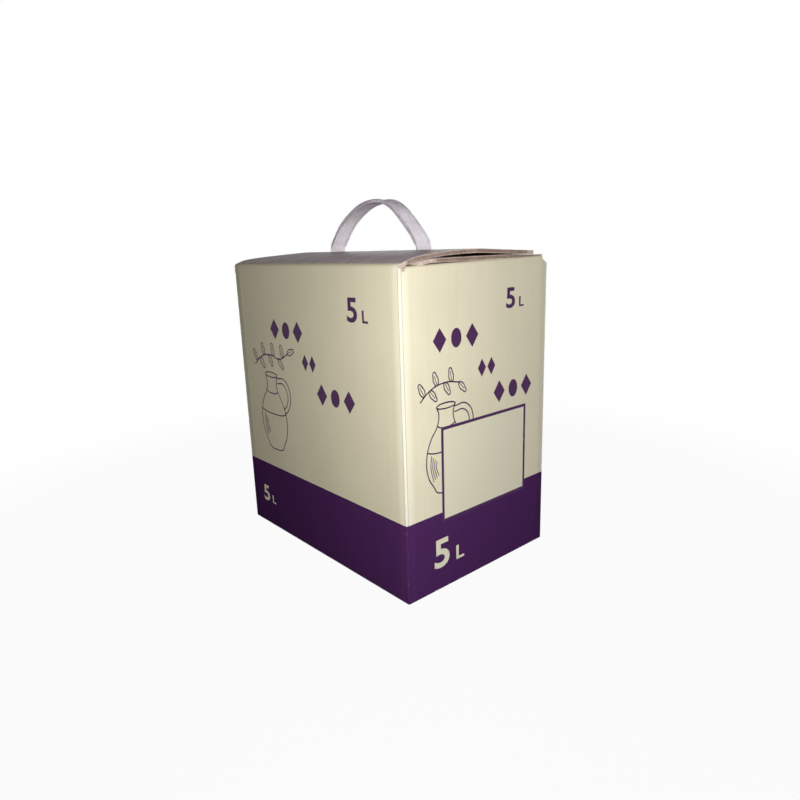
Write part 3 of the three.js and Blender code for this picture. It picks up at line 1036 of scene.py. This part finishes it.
@dataclass(frozen=True)
class Ornament:
    """Stepped rows of solid lozenges and discs, where the box has its large wording."""

    target: WallPrint
    large_rows: tuple[Point, Point]
    small_row: Point
    step: float = 16.2
    half: float = 6.3
    tall: float = 7.9
    small: float = 4.0
    disc_corners: int = 32
    disc_share: float = 0.8
    small_step: float = 2.4
    small_tall: float = 1.55

    def draw(self) -> None:
        """Prints the two large rows and the small one, each from its first shape's middle."""
        for u, v in self.large_rows:
            for index in range(3):
                corners = self.disc_corners if index == 1 else 4
                share = self.disc_share if index == 1 else 1.0
                self.target.disc(
                    u + index * self.step, v, self.half * share, self.tall * share, corners, Ink.PURPLE)
        u, v = self.small_row
        for index in range(2):
            self.target.disc(u + index * self.small_step * self.small, v, self.small,
                             self.small * self.small_tall, 4, Ink.PURPLE)


@dataclass(frozen=True)
class CapacityMark:
    """A plain numeral, with a unit half as high one numeral's height to its right."""

    target: WallPrint
    u: float
    v: float
    height: float
    ink: Ink
    numeral_squeeze: float = 1.15
    unit_squeeze: float = 1.2

    def draw(self) -> None:
        """Prints the mark."""
        self.target.text("5", self.u, self.v, self.height, self.ink, self.numeral_squeeze)
        self.target.text("L", self.u + self.height, self.v, self.height / 2, self.ink, self.unit_squeeze)


@dataclass(frozen=True)
class JugDrawing:
    """A line drawing of a jug under a sprig of leaves, about 61 mm wide and 85 mm high in full."""

    target: WallPrint
    left: float
    foot: float
    width: float = 0.95
    scale: float = 1.0
    leaf_count: int = 8
    leaf_room: float = 6.7
    leaf_length: float = 10
    leaf_half: float = 2.1

    def draw(self) -> None:
        """Prints the drawing."""
        self._jug()
        self._handle()
        self._sprig()

    def _line(self, points: Iterable[Point], weight: float = 1.0, closed: bool = False) -> None:
        """Prints a line.

        Args:
            points: Places in the drawing, in millimetres.
            weight: The line's width as a share of the drawing's own.
            closed: Whether the line's ends join.
        """
        placed = [(self.left + self.scale * u, self.foot + self.scale * v) for u, v in points]
        self.target.stroke(placed, self.width * weight, Ink.PURPLE, closed)

    def _jug(self) -> None:
        """Prints the jug's two sides, lip, waist rings, foot and shading."""
        centre = 24
        side = [(9, 60), (7, 55), (8.5, 47), (15, 38), (19, 26), (17.5, 12), (12, 3), (10.5, 0)]
        for sign in (-1, 1):
            self._line((centre + sign * u, v) for u, v in side)
        angles = [math.tau * index / 12 for index in range(12)]
        lip = [(centre + 9 * math.cos(angle), 60 + 2 * math.sin(angle)) for angle in angles]
        self._line(lip, closed=True)
        for height, reach in ((47, 8.5), (30, 18.4), (0, 10.5)):
            self._line((centre + reach * share, height - 2.2 * math.sqrt(1 - share * share))
                       for share in (-1, -0.7, 0, 0.7, 1))
        for offset in range(4):
            self._line([(9.5 + 1.7 * offset, 27 - 1.6 * offset), (8.8 + 1.7 * offset, 18),
                        (11.4 + 1.6 * offset, 8 + 1.2 * offset)], 0.7)

    def _handle(self) -> None:
        """Prints the jug's handle as two lines."""
        self._line([(32, 58), (44, 58), (51, 48), (48, 36), (41, 30)])
        self._line([(32, 54), (42, 54), (47, 47), (45, 38), (40, 34)])

    def _sprig(self) -> None:
        """Prints a stem that arches over the jug, with leaves in turn on either side."""
        stem = [(0, 66), (10, 73), (24, 76), (38, 74), (45, 76), (52, 80)]
        self._line([point for point in stem if point[0] < self.leaf_room * self.leaf_count])
        leaves = ((4, 69.5, 118), (9, 72.5, -52), (16, 75, 108), (23, 76, -62),
                  (30, 75.5, 100), (37, 74, -48), (44, 75.5, 104), (51, 79.5, 20))
        for u, v, degrees in leaves[:self.leaf_count]:
            self._leaf((u, v), math.radians(degrees))

    def _leaf(self, root: Point, angle: float) -> None:
        """Prints one leaf with its midrib.

        Args:
            root: Where the leaf leaves the stem.
            angle: Which way it points, in radians from level.
        """
        half = self.leaf_half
        outline = [(0, 0), (0.3, half), (0.65, half * 0.85), (1, 0), (0.65, -half * 0.85), (0.3, -half)]
        cosine = math.cos(angle)
        sine = math.sin(angle)

        def turned(share: float, across: float) -> Point:
            """Turns a leaf's own place to the drawing's."""
            reach = share * self.leaf_length
            return (root[0] + reach * cosine - across * sine, root[1] + reach * sine + across * cosine)

        self._line([turned(share, across) for share, across in outline], 0.9, closed=True)
        self._line([turned(0.05, 0), turned(0.75, 0.2)], 0.6)


@dataclass(frozen=True)
class LabelPanel:
    """The framed blank panel on the right wall, which cuts into the purple band."""

    target: WallPrint
    low_u: float = -39.0
    high_u: float = 48.1
    low_v: float = 48.6
    high_v: float = 114.9
    frame_width: float = 2.1
    lift: float = 0.08 * MM

    def draw(self) -> None:
        """Prints the panel and its frame."""
        centre = ((self.low_u + self.high_u) / 2 * MM, (self.low_v + self.high_v) / 2 * MM, 0)
        deselect()
        bpy.ops.mesh.primitive_plane_add(size=1, location=centre)
        part = bpy.context.object
        part.scale = ((self.high_u - self.low_u) * MM, (self.high_v - self.low_v) * MM, 1)
        settle(part)
        bpy.ops.object.mode_set(mode="EDIT")
        bpy.ops.mesh.select_all(action="SELECT")
        bpy.ops.mesh.extrude_region_move(TRANSFORM_OT_translate={"value": (0, 0, self.lift)})
        bpy.ops.mesh.inset(thickness=self.frame_width * MM, depth=0)
        bpy.ops.object.mode_set(mode="OBJECT")
        self.target.keep(part, Ink.PURPLE)
        inner = max(part.data.polygons, key=lambda face: (face.center.z, face.area))
        inner.material_index = Ink.CREAM


@dataclass
class CartonPrint:
    """All four walls' print."""

    inks: list[Material]

    def build(self) -> None:
        """Prints the walls."""
        self._long_wall(Wall.FRONT, "front_print")
        self._long_wall(Wall.BACK, "back_print")
        self._narrow_wall(Wall.RIGHT, "right_print", labelled=True)
        self._narrow_wall(Wall.LEFT, "left_print", labelled=False)

    def _long_wall(self, wall: Wall, name: str) -> None:
        """Prints a long wall.

        Args:
            wall: Which wall.
            name: The printed piece's name.
        """
        target = WallPrint(wall, self.inks)
        Ornament(target, ((-45, 171), (14.5, 128.5)), (-5, 149.5)).draw()
        CapacityMark(target, 48.5, 183.5, 16, Ink.PURPLE).draw()
        CapacityMark(target, -85, 21, 14, Ink.CREAM).draw()
        JugDrawing(target, -80, 74).draw()
        target.finish(name)

    def _narrow_wall(self, wall: Wall, name: str, labelled: bool) -> None:
        """Prints a narrow wall.

        Args:
            wall: Which wall.
            name: The printed piece's name.
            labelled: Whether it has the jug and the label panel.
        """
        target = WallPrint(wall, self.inks)
        Ornament(target, ((-39, 171.8), (18.5, 129)), (0.5, 148.5), 15.0, 5.9).draw()
        CapacityMark(target, 24.5, 186.5, 14, Ink.PURPLE).draw()
        CapacityMark(target, -48, 17, 21, Ink.CREAM).draw()
        if labelled:
            JugDrawing(target, -57, 72, scale=0.95, leaf_count=6).draw()
            LabelPanel(target).draw()
        target.finish(name)


# Strap, bag and tap


@dataclass
class CarryStrap:
    """The ribbed plastic strap."""

    node: str = "carry_strap"
    finish: StrapPlastic = StrapPlastic()
    voxel: float = 0.42 * MM
    softenings: int = 4
    sharp_from: float = 60

    def build(self) -> None:
        """Makes and dresses the strap."""
        piece = copy_of(self.node, "ribbed_strap")
        remesh(piece, self.voxel)
        soften(piece, self.softenings)
        apply_all(piece)
        wear(piece, [self.finish.make()])
        smooth(piece, self.sharp_from)
        finish_piece(piece, "flap", "strap_plastic", self.node)


@dataclass
class FilmBag:
    """The full bag, with its film creased."""

    node: str = "inner_bag"
    finish: MetalFilm = MetalFilm()
    voxel: float = 2.6 * MM
    softenings: int = 3
    sharp_from: float = 60
    crease: float = 1.6 * MM
    crease_size: float = 34 * MM

    def build(self) -> None:
        """Makes and dresses the bag."""
        piece = copy_of(self.node, "film_bag")
        remesh(piece, self.voxel)
        pattern = bpy.data.textures.new("creases", "CLOUDS")
        pattern.noise_scale = self.crease_size
        pattern.noise_basis = "VORONOI_F2_F1"
        creased = piece.modifiers.new("creased", "DISPLACE")
        creased.texture = pattern
        creased.strength = -self.crease
        creased.mid_level = 0
        soften(piece, self.softenings)
        apply_all(piece)
        wear(piece, [self.finish.make()])
        smooth(piece, self.sharp_from)
        finish_piece(piece, "box", "bag_film", self.node)


@dataclass
class Tap:
    """The gland, the tap's body and its lever."""

    bevel: float = 0.35 * MM
    sharp_from: float = 40

    def build(self) -> None:
        """Makes and dresses the tap."""
        white = TAP_WHITE.make()
        red = LEVER_RED.make()
        rows = (
            ("tap_gland", "gland", white, "tap_plastic"),
            ("tap_body", "tap_barrel", white, "tap_plastic"),
            ("tap_lever", "thumb_lever", red, "lever_plastic"),
        )
        for node, name, material, slot in rows:
            piece = copy_of(node, name)
            rounded = piece.modifiers.new("rounded", "BEVEL")
            rounded.width = self.bevel
            rounded.segments = 2
            rounded.limit_method = "ANGLE"
            rounded.angle_limit = math.radians(self.sharp_from)
            apply_all(piece)
            wear(piece, [material])
            smooth(piece, self.sharp_from)
            finish_piece(piece, "box", slot, node)


# Studio


@dataclass(frozen=True)
class PhotoCamera:
    """The photograph's camera, found by fitting the box's corners in its 800 pixel frame."""

    place: Triple = (0.38021, -0.31312, 0.23053)
    azimuth: float = math.radians(49.2375)
    elevation: float = math.radians(13.8651)
    roll: float = math.radians(-1.8434)
    focal_pixels: float = 628.37
    frame_pixels: float = 800
    sensor: float = 36.0

    def build(self) -> None:
        """Makes the camera and gives it to the scene."""
        back = Vector((
            math.sin(self.azimuth) * math.cos(self.elevation),
            -math.cos(self.azimuth) * math.cos(self.elevation),
            math.sin(self.elevation),
        ))
        level = (-back).cross(Vector((0, 0, 1))).normalized()
        upright = level.cross(-back)
        right = math.cos(self.roll) * level + math.sin(self.roll) * upright
        above = -math.sin(self.roll) * level + math.cos(self.roll) * upright
        data = bpy.data.cameras.new("photo_camera")
        data.sensor_width = self.sensor
        data.lens = self.focal_pixels / self.frame_pixels * self.sensor
        data.clip_start = 0.01
        camera = bpy.data.objects.new("photo_camera", data)
        turn = Matrix((right, above, back)).transposed().to_4x4()
        camera.matrix_world = Matrix.Translation(Vector(self.place)) @ turn
        bpy.context.scene.collection.objects.link(camera)
        bpy.context.scene.camera = camera


@dataclass(frozen=True)
class Lamp:
    """A soft square lamp that looks at its target, by default the middle of the box."""

    name: str
    place: Triple
    size: float
    power: float
    target: Triple = (0, 0, 0.12)
    colour: Triple = (1, 1, 1)

    def build(self) -> None:
        """Makes the lamp."""
        data = bpy.data.lights.new(self.name, "AREA")
        data.size = self.size
        data.energy = self.power
        data.color = self.colour
        lamp = bpy.data.objects.new(self.name, data)
        away = Vector(self.place) - Vector(self.target)
        lamp.location = self.place
        lamp.rotation_euler = away.to_track_quat("Z", "Y").to_euler()
        lamp.visible_camera = False
        bpy.context.scene.collection.objects.link(lamp)


@dataclass(frozen=True)
class Studio:
    """The floor, the surroundings and the lamps."""

    floor_radius: float = 6.0
    floor_level: float = -0.2 * MM
    floor_tint: Colour = tint(150, 150, 150)
    near_glow: float = 0.95
    fade_from: float = 0.22
    fade_to: float = 0.6
    lamps: tuple[Lamp, ...] = (
        Lamp("key", (0.318, -0.270, 0.226), 0.10, 1.13, (0.1, -0.07, 0.12), (1.0, 0.995, 1.0)),
        Lamp("overhead", (0.1, 0.35, 1.5), 0.9, 1.45),
        Lamp("right_fill", (1.6, 0.35, 0.5), 0.8, 4.8, colour=(0.84, 0.86, 1.0)),
        Lamp("back_left", (-1.2, 1.1, 0.24), 0.5, 11.0),
    )

    def build(self) -> None:
        """Makes the studio."""
        self._surroundings()
        self._floor()
        for lamp in self.lamps:
            lamp.build()
        bpy.context.scene.view_settings.view_transform = "Standard"

    def _surroundings(self) -> None:
        """Makes the world white to the eye, to gloss and to glass, and dark as a light."""
        graph = Graph("studio", world=True)
        graph.dress(Strength=0.0)
        white = graph.add("ShaderNodeBackground")
        graph.feed(white.inputs["Color"], (1, 1, 1, 1))
        graph.show("World Output", graph.seen(), graph.shader.outputs[0], white.outputs[0])
        bpy.context.scene.world = graph.owner

    def _floor(self) -> None:
        """Makes a pale floor that keeps the box's shadow and fades into the white beyond."""
        deselect()
        bpy.ops.mesh.primitive_circle_add(
            vertices=96, radius=self.floor_radius, fill_type="NGON", location=(0, 0, self.floor_level))
        floor = bpy.context.object
        floor.name = "floor"
        graph = Graph("pale_floor")
        _, x, y, _ = graph.place()
        squares = graph.math("ADD", graph.math("MULTIPLY", x, x), graph.math("MULTIPLY", y, y))
        far = graph.rise(graph.math("SQRT", squares), self.fade_from, self.fade_to)
        glow = graph.add("ShaderNodeEmission")
        glowing = graph.rise(far, 0.0, 1.0, self.near_glow, 1.0)
        share = graph.math("MULTIPLY", glowing, graph.seen())
        graph.show("Material Output", share, graph.shader.outputs[0], glow.outputs[0])
        floor.data.materials.append(graph.dress(Base_Color=self.floor_tint, Roughness=0.9))


def main() -> None:
    """Builds the camera, the pieces and the studio in order."""
    logging.basicConfig(level=logging.INFO, format="%(message)s")
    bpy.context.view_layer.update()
    PhotoCamera().build()
    printed = PrintedBoard().make()
    bare = ShadedBareBoard().make()
    board = [printed, bare, INNER_LINER.make(), CUT_LINER.make(), MEDIUM.make()]
    inks = [PURPLE_INK.make(), CREAM_INK.make()]
    FoldedCarton(board).build()
    OuterFlap(board).build()
    CartonPrint(inks).build()
    CarryStrap().build()
    FilmBag().build()
    Tap().build()
    Studio().build()
    deselect()


if __name__ == "__main__":
    main()
